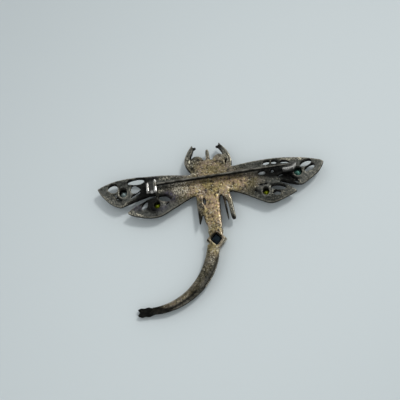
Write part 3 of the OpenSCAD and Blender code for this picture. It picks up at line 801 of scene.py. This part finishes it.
@dataclass
class Casting:
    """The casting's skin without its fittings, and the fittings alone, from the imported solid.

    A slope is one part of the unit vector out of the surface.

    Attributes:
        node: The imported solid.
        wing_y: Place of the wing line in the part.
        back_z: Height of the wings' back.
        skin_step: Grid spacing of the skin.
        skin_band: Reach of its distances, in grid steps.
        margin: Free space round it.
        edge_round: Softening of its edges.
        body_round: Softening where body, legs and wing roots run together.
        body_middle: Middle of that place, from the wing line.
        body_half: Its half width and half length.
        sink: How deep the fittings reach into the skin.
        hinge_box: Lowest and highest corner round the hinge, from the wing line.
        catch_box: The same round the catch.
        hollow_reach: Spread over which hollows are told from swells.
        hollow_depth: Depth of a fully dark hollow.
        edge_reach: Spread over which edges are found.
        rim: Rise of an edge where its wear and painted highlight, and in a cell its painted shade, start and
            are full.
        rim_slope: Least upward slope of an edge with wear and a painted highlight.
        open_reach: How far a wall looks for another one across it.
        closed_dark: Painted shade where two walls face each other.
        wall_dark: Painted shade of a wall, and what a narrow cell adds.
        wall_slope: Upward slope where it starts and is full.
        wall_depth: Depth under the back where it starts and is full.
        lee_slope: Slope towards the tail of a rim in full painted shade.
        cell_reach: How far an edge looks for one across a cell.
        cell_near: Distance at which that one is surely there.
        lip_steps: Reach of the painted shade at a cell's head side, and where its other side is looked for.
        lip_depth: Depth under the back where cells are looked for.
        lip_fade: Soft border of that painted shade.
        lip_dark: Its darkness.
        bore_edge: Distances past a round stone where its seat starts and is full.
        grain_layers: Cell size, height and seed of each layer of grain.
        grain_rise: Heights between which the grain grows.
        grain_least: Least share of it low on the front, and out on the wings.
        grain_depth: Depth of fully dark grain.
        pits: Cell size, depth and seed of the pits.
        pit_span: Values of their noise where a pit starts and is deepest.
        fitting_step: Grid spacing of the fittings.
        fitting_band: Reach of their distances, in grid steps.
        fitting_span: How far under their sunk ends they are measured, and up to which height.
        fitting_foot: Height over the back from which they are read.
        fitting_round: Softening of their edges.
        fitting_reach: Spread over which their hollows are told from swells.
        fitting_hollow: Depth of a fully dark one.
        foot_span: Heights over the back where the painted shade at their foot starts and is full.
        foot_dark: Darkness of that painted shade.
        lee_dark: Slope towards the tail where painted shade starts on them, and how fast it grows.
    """

    node: bpy.types.Object
    wing_y: float
    back_z: float = 3.0
    skin_step: float = 0.175
    skin_band: int = 8
    margin: float = 1.2
    edge_round: float = 0.11
    body_round: float = 0.34
    body_middle: Pair = (0.3, -1.5)
    body_half: Pair = (8.5, 6.5)
    sink: float = 0.25
    hinge_box: tuple[Pair, Pair] = ((-19.6, -2.4), (-15.2, 2.9))
    catch_box: tuple[Pair, Pair] = ((20.3, -0.4), (27.0, 4.6))
    hollow_reach: float = 0.45
    hollow_depth: float = 0.10
    edge_reach: float = 0.2
    rim: Pair = (0.010, 0.045)
    rim_slope: float = 0.35
    open_reach: float = 0.9
    closed_dark: float = 1.4
    wall_dark: Pair = (0.7, 0.55)
    wall_slope: Pair = (0.8, 0.3)
    wall_depth: Pair = (0.02, 0.12)
    lee_slope: float = 0.33
    cell_reach: float = 1.1
    cell_near: float = 0.3
    lip_steps: tuple[float, ...] = (0.7, 1.0, 1.4, 1.9, 2.4, 2.9, 3.4)
    lip_depth: float = 0.4
    lip_fade: float = 0.15
    lip_dark: float = 1.4
    bore_edge: Pair = (0.2, -0.1)
    grain_layers: tuple[tuple[float, float, int], ...] = ((2.2, 0.07, 11), (0.75, 0.10, 12), (0.38, 0.08, 13))
    grain_rise: Pair = (1.2, 2.4)
    grain_least: Pair = (0.35, 0.25)
    grain_depth: float = 0.09
    pits: tuple[float, float, int] = (0.62, 0.10, 14)
    pit_span: Pair = (0.74, 0.88)
    fitting_step: float = 0.06
    fitting_band: int = 6
    fitting_span: Pair = (0.2, 6.0)
    fitting_foot: float = 0.07
    fitting_round: float = 0.05
    fitting_reach: float = 0.22
    fitting_hollow: float = 0.045
    foot_span: Pair = (0.45, 0.05)
    foot_dark: float = 0.9
    lee_dark: Pair = (0.25, 1.2)

    def _inside(self, box: tuple[Pair, Pair], volume: DistanceField) -> np.ndarray:
        """Tells which grid columns lie in a box on the back."""
        x, y = volume.axis(0), volume.axis(1) - self.wing_y
        return (x > box[0][0]) & (x < box[1][0]) & (y > box[0][1]) & (y < box[1][1])

    def _spots(self, points: np.ndarray, spots: Sequence[Spot | Streak]) -> np.ndarray:
        """Adds up spots and streaks at points."""
        x, y = points[:, 0], points[:, 1] - self.wing_y
        return sum((spot.at(x, y) for spot in spots), np.zeros(len(points)))

    def skin(self) -> bpy.types.Object:
        """Builds the casting's skin.

        Returns:
            The piece.
        """
        volume = self._rounded()
        points, quads = volume.surface()
        ways = volume.outward(points)
        grain = self._grain(points)
        masks = self._masks(points, ways, grain, volume)
        points = points + ways * grain[:, None]
        points[:, 2] = np.maximum(points[:, 2], 0.0)
        return make_piece("casting_skin", points, quads, masks)

    def _rounded(self) -> DistanceField:
        """Measures the casting without its fittings, softened where body, legs and wing roots run together.

        Returns:
            The field of its surface.
        """
        low, high = (Vector(corner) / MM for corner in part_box(self.node.name))
        margin = Vector((self.margin, self.margin, self.margin))
        raw = DistanceField.of_node(self.node, self.skin_step, self.skin_band, low - margin, high + margin)
        over = raw.axis(2) - self.back_z
        for box in (self.hinge_box, self.catch_box):
            raw.values = np.where(self._inside(box, raw), np.maximum(raw.values, over), raw.values)
        across = (raw.axis(0) - self.body_middle[0]) / self.body_half[0]
        along = (raw.axis(1) - self.wing_y - self.body_middle[1]) / self.body_half[1]
        near = np.exp(-(across**4) - along**4).astype(np.float32)
        crisp, soft = raw.blurred(self.edge_round), raw.blurred(self.body_round)
        return DistanceField(crisp.values * (1 - near) + soft.values * near, raw.corner, raw.step)

    def _masks(self, points: np.ndarray, ways: np.ndarray, grain: np.ndarray,
               volume: DistanceField) -> dict[Mask, np.ndarray]:
        """Works out the values that the skin's finish reads.

        Args:
            points: Places in millimetres.
            ways: Ways out of the surface.
            grain: Heights of the cast grain.
            volume: The casting's field.

        Returns:
            One value for each point and mask.
        """
        bend, edge = (volume.blurred(reach).at(points) for reach in (self.hollow_reach, self.edge_reach))
        rim = ramp(edge, *self.rim) * (points[:, 2] > self.back_z / 2)
        cell = self._cell(points, ways, volume)
        # Painted shade on walls that face another wall across a narrow gap
        closed = self.closed_dark * (1 - volume.at(points + ways * self.open_reach) / self.open_reach)
        # Painted shade on walls below the back, more in narrow cells
        wall = (self.wall_dark[0] + self.wall_dark[1] * cell) * ramp(ways[:, 2], *self.wall_slope)
        wall *= ramp(self.back_z - points[:, 2], *self.wall_depth)
        wall *= np.clip(1 - self._spots(points, NO_WALL_SHADE_SPOTS), 0, 1)
        # Painted shade on cell rims that face the tail, and along the head's side of cells
        shaded = rim * cell * ramp(-ways[:, 1], 0, self.lee_slope)
        shaded += self.lip_dark * self._lips(points, volume)
        # Patina in hollows and pits, with painted shade where walls face each other
        hollow = closed - bend / self.hollow_depth - grain / self.grain_depth
        return {
            Mask.WARM: self._spots(points, WARM_SPOTS + WARM_STREAKS),
            # Tarnish, with painted shadow and shade from the tables, the walls and the cells
            Mask.DARK: self._spots(points, DARK_SPOTS + DARK_STREAKS) + wall + shaded,
            Mask.TINT: self._spots(points, TINT_SPOTS),
            Mask.RUB_AND_GLINT: self._spots(points, RUB_AND_GLINT_SPOTS + RUB_AND_HIGHLIGHT_STREAKS),
            # Edges with wear and a painted highlight, on upward edges outside narrow cells
            Mask.EDGE: rim * (ways[:, 2] > self.rim_slope) * (1 - cell),
            Mask.HOLLOW: hollow * (1 - self._bores(points)),
        }

    def _cell(self, points: np.ndarray, ways: np.ndarray, volume: DistanceField) -> np.ndarray:
        """Tells from 0 to 1 whether points look across a narrow cell rather than out of the wing.

        Args:
            points: Places in millimetres.
            ways: Ways out of the surface.
            volume: The casting's field.

        Returns:
            One value for each point.
        """
        across = ways * (1, 1, 0)
        across /= np.maximum(np.linalg.norm(across, axis=1, keepdims=True), NO_LENGTH)
        beyond = points + across * self.cell_reach
        beyond[:, 2] = np.minimum(beyond[:, 2], self.back_z - self.lip_depth)
        return ramp(volume.at(beyond), self.cell_reach, self.cell_near)

    def _lips(self, points: np.ndarray, volume: DistanceField) -> np.ndarray:
        """Tells from 0 to 1 whether points lie at the head's side of a cell, where shade is painted.

        Args:
            points: Places in millimetres.
            volume: The casting's field.

        Returns:
            One value for each point.
        """
        level = np.array(points)
        level[:, 2] = self.back_z - self.lip_depth
        near, *far = (volume.at(level - (0, step, 0)) for step in self.lip_steps)
        top = points[:, 2] > self.back_z - self.lip_depth
        return ramp(near, 0, self.lip_fade) * ramp(np.min(far, axis=0), 0, -self.lip_fade) * top

    def _bores(self, points: np.ndarray) -> np.ndarray:
        """Tells how near points are to a round stone's place, from 0 to 1.

        Args:
            points: Places in millimetres.

        Returns:
            One value for each point.
        """
        near = np.zeros(len(points))
        for name in ROUND_STONES:
            low, high = (Vector(corner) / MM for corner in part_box(name))
            middle, radius = (low + high) / 2, (high.x - low.x) / 2
            off = np.hypot(points[:, 0] - middle.x, points[:, 1] - middle.y)
            near = np.maximum(near, ramp(off - radius, *self.bore_edge))
        return near

    def _grain(self, points: np.ndarray) -> np.ndarray:
        """Gives the height of the cast grain, with pits, at points.

        Args:
            points: Places in millimetres.

        Returns:
            Heights in millimetres.
        """
        height = np.zeros(len(points))
        for cell, tall, seed in self.grain_layers:
            height += tall * (noise_at(points, cell, seed) - 0.5)
        cell, deep, seed = self.pits
        height -= deep * ramp(noise_at(points, cell, seed), *self.pit_span)
        back = np.maximum(ramp(points[:, 2], *self.grain_rise), self.grain_least[0])
        return height * back * np.clip(self._spots(points, WARM_SPOTS), self.grain_least[1], 1)

    def fittings(self) -> list[bpy.types.Object]:
        """Builds the hinge's base and the catch as pieces that reach into the skin."""
        return [self._fitting("hinge_base", self.hinge_box), self._fitting("catch_clip", self.catch_box)]

    def _fitting(self, name: str, box: tuple[Pair, Pair]) -> bpy.types.Object:
        """Builds one soldered fitting.

        Args:
            name: Name of the piece.
            box: Its box on the back, from the wing line.

        Returns:
            The piece.
        """
        bottom = self.back_z - self.sink
        low = Vector((box[0][0], box[0][1] + self.wing_y, bottom - self.fitting_span[0]))
        high = Vector((box[1][0], box[1][1] + self.wing_y, self.fitting_span[1]))
        raw = DistanceField.of_node(self.node, self.fitting_step, self.fitting_band, low, high)
        z = raw.axis(2)[0, 0]
        foot = int(np.searchsorted(z, self.back_z + self.fitting_foot))
        raw.values[:, :, :foot] = raw.values[:, :, foot : foot + 1]
        raw.values = np.maximum(raw.values, bottom - raw.axis(2))
        for axis in (0, 1):
            edge = np.moveaxis(raw.values, axis, 0)
            edge[0] = edge[-1] = raw.values.max()
        smooth = raw.blurred(self.fitting_round)
        points, quads = smooth.surface()
        bend = smooth.blurred(self.fitting_reach).at(points)
        # Painted shade at the foot, where the fitting meets the back, and on its tail's side
        foot_dark = self.foot_dark * ramp(points[:, 2] - self.back_z, *self.foot_span)
        lee = np.clip(-smooth.outward(points)[:, 1] - self.lee_dark[0], 0, 1) * self.lee_dark[1]
        masks = {
            Mask.DARK: foot_dark + lee,
            Mask.RUB_AND_GLINT: self._spots(points, SHINE_SPOTS),
            Mask.HOLLOW: -bend / self.fitting_hollow,
        }
        return make_piece(name, points, quads, masks)


@dataclass
class BeadRow:
    """Fine beads along paths on the casting.

    Attributes:
        name: Name of the piece.
        paths: Paths in the part's frame.
        pitch: Distance between beads.
        radius: Radius of a bead.
        sides: Segments and rings of a bead.
        spread: Share by which beads differ in size.
        seed: Seed of the differences.
    """

    name: str
    paths: list[list[Point]]
    pitch: float
    radius: float
    sides: tuple[int, int] = (12, 8)
    spread: float = 0.15
    seed: int = 7

    def _tree(self) -> bpy.types.NodeTree:
        """Builds the node tree that sets beads along edges.

        Returns:
            The tree.
        """
        tree = bpy.data.node_groups.new(f"{self.name}_tree", "GeometryNodeTree")
        kinds = {
            "Geometry": "Geometry", "Pitch": "Float", "Bead Radius": "Float", "Smallest": "Float",
            "Largest": "Float", "Seed": "Int", "Finish": "Material",
        }
        for label, kind in kinds.items():
            tree.interface.new_socket(label, in_out="INPUT", socket_type=f"NodeSocket{kind}")
        tree.interface.new_socket("Geometry", in_out="OUTPUT", socket_type="NodeSocketGeometry")
        start = tree.nodes.new("NodeGroupInput")
        given = {label: Value(tree, start.outputs[label]) for label in kinds}
        curve = add_node(tree, "GeometryNodeMeshToCurve", {"Mesh": given["Geometry"]})
        spacing = {"Curve": curve, "Length": given["Pitch"]}
        places = add_node(tree, "GeometryNodeResampleCurve", spacing, mode="LENGTH")
        ball = {"Segments": self.sides[0], "Rings": self.sides[1], "Radius": given["Bead Radius"]}
        bead = add_node(tree, "GeometryNodeMeshUVSphere", ball, "Mesh")
        # Of a random value node, inputs 2 and 3 and output 1 are those for a plain number
        sizes = {2: given["Smallest"], 3: given["Largest"], "Seed": given["Seed"]}
        size = add_node(tree, "FunctionNodeRandomValue", sizes, 1)
        setting = {"Points": places, "Instance": bead, "Scale": size}
        row = add_node(tree, "GeometryNodeInstanceOnPoints", setting)
        row = add_node(tree, "GeometryNodeRealizeInstances", {"Geometry": row})
        row = add_node(tree, "GeometryNodeSetShadeSmooth", {"Geometry": row})
        row = add_node(tree, "GeometryNodeSetMaterial", {"Geometry": row, "Material": given["Finish"]})
        feed(tree.nodes.new("NodeGroupOutput").inputs["Geometry"], row)
        return tree

    def build(self, finish: bpy.types.Material) -> bpy.types.Object:
        """Sets the beads.

        Args:
            finish: Their finish.

        Returns:
            The piece, a plain mesh.
        """
        points = [tuple(value * MM for value in point) for path in self.paths for point in path]
        starts = np.cumsum([0] + [len(path) for path in self.paths])
        edges = [(k, k + 1) for first, last in zip(starts[:-1], starts[1:]) for k in range(first, last - 1)]
        guide_mesh = bpy.data.meshes.new(f"{self.name}_guide")
        guide_mesh.from_pydata(points, edges, [])
        guide = show(f"{self.name}_guide", guide_mesh)
        tree = self._tree()
        modifier = guide.modifiers.new("beads", "NODES")
        modifier.node_group = tree
        values = {"Pitch": self.pitch * MM, "Bead Radius": self.radius * MM, "Smallest": 1 - self.spread,
                  "Largest": 1 + self.spread, "Seed": self.seed, "Finish": finish}
        for item in tree.interface.items_tree:
            if item.in_out == "INPUT" and item.name in values:
                modifier[item.identifier] = values[item.name]
        graph = bpy.context.evaluated_depsgraph_get()
        mesh = bpy.data.meshes.new_from_object(guide.evaluated_get(graph))
        guide.modifiers.remove(modifier)
        bpy.data.objects.remove(guide)
        LOG.info("%s: %d faces", self.name, len(mesh.polygons))
        return show(self.name, mesh)


@dataclass
class Beading:
    """The beaded outer edge of the tail and the beaded walls of the lozenge's setting.

    Attributes:
        wing_y: Place of the wing line in the part.
        tail_radius: Radius of the tail's outer edge where its beads start and end.
        tail_angles: Angles where they start and end, in degrees.
        tail_row: Height of the tail's beads.
        tail_steps: Number of points of their path.
        lozenge_half: Half width and half length of its setting.
        lozenge_share: Share of both halves where its beads end.
        lozenge_rows: Heights of its rows.
    """

    wing_y: float
    tail_radius: Pair = (20.78, 20.72)
    tail_angles: Pair = (9.0, 41.0)
    tail_row: float = 2.3
    tail_steps: int = 30
    lozenge_half: Pair = (2.89, 3.37)
    lozenge_share: Pair = (0.45, 0.55)
    lozenge_rows: tuple[float, ...] = (1.0, 1.45, 1.9)

    def _tail_path(self) -> list[Point]:
        """Gives the path along the tail's outer edge.

        Returns:
            Points in the part's frame.
        """
        path = []
        for share in np.linspace(0, 1, self.tail_steps):
            angle = math.radians(self.tail_angles[0] + share * (self.tail_angles[1] - self.tail_angles[0]))
            radius = self.tail_radius[0] + share * (self.tail_radius[1] - self.tail_radius[0])
            x = TAIL_MIDDLE[0] + radius * math.cos(angle)
            y = self.wing_y + TAIL_MIDDLE[1] - radius * math.sin(angle)
            path.append((x, y, self.tail_row))
        return path

    def _lozenge_path(self, side: int, z: float) -> list[Point]:
        """Gives the path round one side corner of the lozenge's setting.

        Args:
            side: -1 for its left corner, 1 for its right one.
            z: Height of the row.

        Returns:
            Points in the part's frame.
        """
        (half_wide, half_long), (inwards, endwards) = self.lozenge_half, self.lozenge_share
        x, y = LOZENGE_MIDDLE[0], self.wing_y + LOZENGE_MIDDLE[1]
        ends = [(x + side * half_wide * inwards, y + way * half_long * endwards, z) for way in (1, -1)]
        return [ends[0], (x + side * half_wide, y, z), ends[1]]

    def build(self, finish: bpy.types.Material) -> list[bpy.types.Object]:
        """Sets both groups of beads.

        Args:
            finish: Their finish.

        Returns:
            The pieces.
        """
        tail = BeadRow("tail_beads", [self._tail_path()], pitch=0.5, radius=0.19)
        walls = [self._lozenge_path(side, z) for side in (-1, 1) for z in self.lozenge_rows]
        lozenge = BeadRow("lozenge_beads", walls, pitch=0.34, radius=0.15, seed=8)
        return [tail.build(finish), lozenge.build(finish)]


@dataclass
class Studio:
    """Pale floor, soft light and the camera at the photograph's angle.

    Attributes:
        wing_y: Place of the wing line in the part.
        target: Point that the camera looks at, from the wing line.
        tilt: Angle of the view from straight down, in degrees.
        turn: Turn of the camera's place from -Y towards +X, in degrees.
        roll: Turn of the picture, in degrees.
        distance: Distance of the camera from the target.
        focal: Focal length in widths of the picture.
        sensor: Width of the camera's sensor, in millimetres.
        nearest: Nearest distance that the camera shows, in metres.
        floor_half: Half the floor's side, in metres.
        floor_colour: The floor's colour.
        floor_rough: Its roughness.
        along: Brightness of the surroundings from the tail's side to the head's, after the two places of Y.
        height: The same upwards, after the two places of Z; straight above it is dim.
        sky: Their colour.
        lamp_place: Place of the lamp, in metres.
        lamp_radius: Its radius, in metres.
        lamp_power: Its power, in watts.
        lamp_colour: Its colour.
        pool: Width of its pool of light, in degrees.
        aim: Place on the floor that it faces, in metres.
    """

    wing_y: float
    target: Pair = (-3.65, -3.95)
    tilt: float = 22.0
    turn: float = 13.1
    roll: float = -5.25
    distance: float = 260.0
    focal: float = 2.18
    sensor: float = 36.0
    nearest: float = 0.01
    floor_half: float = 3.0
    floor_colour: Colour = (0.590, 0.646, 0.660)
    floor_rough: float = 0.55
    along: tuple[float, float, float, float] = (-0.7, 0.9, 0.74, 1.10)
    height: tuple[float, float, float, float] = (0.6, 0.95, 1.0, 0.4)
    sky: Colour = (0.96, 0.985, 1.0)
    lamp_place: Point = (0.45, 0.42, 0.62)
    lamp_radius: float = 0.12
    lamp_power: float = 27.0
    lamp_colour: Colour = (1.0, 0.99, 0.97)
    pool: float = 15.0
    aim: Pair = (0.018, -0.002)

    def camera(self) -> None:
        """Sets the camera."""
        tilt, turn, roll = (math.radians(angle) for angle in (self.tilt, self.turn, self.roll))
        back = Vector((math.sin(turn) * math.sin(tilt), -math.cos(turn) * math.sin(tilt), math.cos(tilt)))
        right = (-back).cross(Vector((0, 1, 0))).normalized()
        up = right.cross(-back)
        right, up = right * math.cos(roll) + up * math.sin(roll), up * math.cos(roll) - right * math.sin(roll)
        place = Vector((self.target[0], self.target[1] + self.wing_y, 0)) + back * self.distance
        data = bpy.data.cameras.new("camera")
        data.sensor_width = self.sensor
        data.lens = self.focal * self.sensor
        data.clip_start = self.nearest
        camera = show("camera", data)
        matrix = Matrix((right, up, back)).transposed().to_4x4()
        matrix.translation = place * MM
        camera.matrix_world = matrix
        bpy.context.scene.camera = camera

    def floor(self) -> None:
        """Lays the floor."""
        half = self.floor_half
        mesh = bpy.data.meshes.new("floor")
        mesh.from_pydata([(-half, -half, 0), (half, -half, 0), (half, half, 0), (-half, half, 0)], [],
                         [(0, 1, 2, 3)])
        floor = show("floor", mesh)
        recipe = Recipe("pale_floor")
        recipe.set(base_color=self.floor_colour, roughness=self.floor_rough)
        dress(floor, recipe.material)

    def surroundings(self) -> None:
        """Sets soft surroundings, dimmer towards the tail's side and straight above."""
        world = bpy.data.worlds.new("surroundings")
        world.use_nodes = True
        tree = world.node_tree
        way = add_node(tree, "ShaderNodeTexCoord", {}, "Generated")
        slopes = {}
        for index, (axis, span) in enumerate((("Y", self.along), ("Z", self.height))):
            part = add_node(tree, "ShaderNodeSeparateXYZ", {"Vector": way}, axis)
            slopes[index] = part.span(*span, "SMOOTHSTEP")
        shade = tree.nodes["Background"].inputs
        feed(shade["Strength"], add_node(tree, "ShaderNodeMath", slopes, operation="MULTIPLY"))
        feed(shade["Color"], self.sky)
        bpy.context.scene.world = world
        bpy.context.scene.view_settings.view_transform = "Standard"

    def lamp(self) -> None:
        """Sets one soft lamp that faces the brooch, with a wide blurred pool of light."""
        data = bpy.data.lights.new("window", "SPOT")
        data.shadow_soft_size = self.lamp_radius
        data.energy = self.lamp_power
        data.color = self.lamp_colour
        data.spot_size = math.radians(self.pool)
        data.spot_blend = 1.0
        lamp = show("window", data)
        lamp.location = self.lamp_place
        way = Vector((*self.aim, 0.0)) - Vector(self.lamp_place)
        lamp.rotation_euler = way.to_track_quat("-Z", "Y").to_euler()


def dress(node: bpy.types.Object, finish: bpy.types.Material) -> None:
    """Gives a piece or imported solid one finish."""
    node.data.materials.clear()
    node.data.materials.append(finish)


def shade_tailward_side(node: bpy.types.Object, even: float = 0.5, tailward: float = 1.4, up: float = 0.6) -> None:
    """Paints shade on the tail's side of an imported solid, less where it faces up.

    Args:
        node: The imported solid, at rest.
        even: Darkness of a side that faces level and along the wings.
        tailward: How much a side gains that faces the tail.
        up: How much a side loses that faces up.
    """
    mesh = node.data
    ways = np.empty(len(mesh.vertices) * 3, np.float32)
    mesh.vertices.foreach_get("normal", ways)
    ways = ways.reshape(-1, 3)
    layer = mesh.attributes.new(Mask.DARK.value, "FLOAT", "POINT")
    layer.data.foreach_set("value", np.clip(even - tailward * ways[:, 1] - up * ways[:, 2], 0, 1))


def corners(bounds: Sequence[Sequence[float]]) -> list[list[float]]:
    """Turns a box's lowest and highest corner into plain lists."""
    return [[float(value) for value in corner] for corner in bounds]


def main() -> None:
    """Builds the brooch's looks and its surroundings."""
    logging.basicConfig(level=logging.INFO, format="%(name)s: %(message)s")
    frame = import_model()
    nodes = frame["nodes"]
    low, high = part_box("stone_right_forewing")
    wing_y = (low.y + high.y) / 2 / MM
    studio = Studio(wing_y)
    studio.camera()
    studio.floor()
    studio.lamp()
    studio.surroundings()
    casting = Casting(nodes["casting"], wing_y)
    skin = casting.skin()
    dress(skin, CastFinish().build())
    fittings = casting.fittings()
    fitting_finish = FittingFinish().build()
    for piece in fittings:
        dress(piece, fitting_finish)
    for piece in [skin, *fittings, *Beading(wing_y).build(BEADS.build())]:
        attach(piece, "brooch")
    for piece in [skin, *fittings]:
        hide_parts("casting")
    shade_tailward_side(nodes["pin_stem"])
    dress(nodes["pin_stem"], PIN_WIRE.build())
    dress(nodes["hinge_rivet"], RIVET.build())
    for name, finish in STONES.items():
        dress(nodes[name], finish.build())
        LOG.info("%s: dressed", name)


if __name__ == "__main__":
    main()
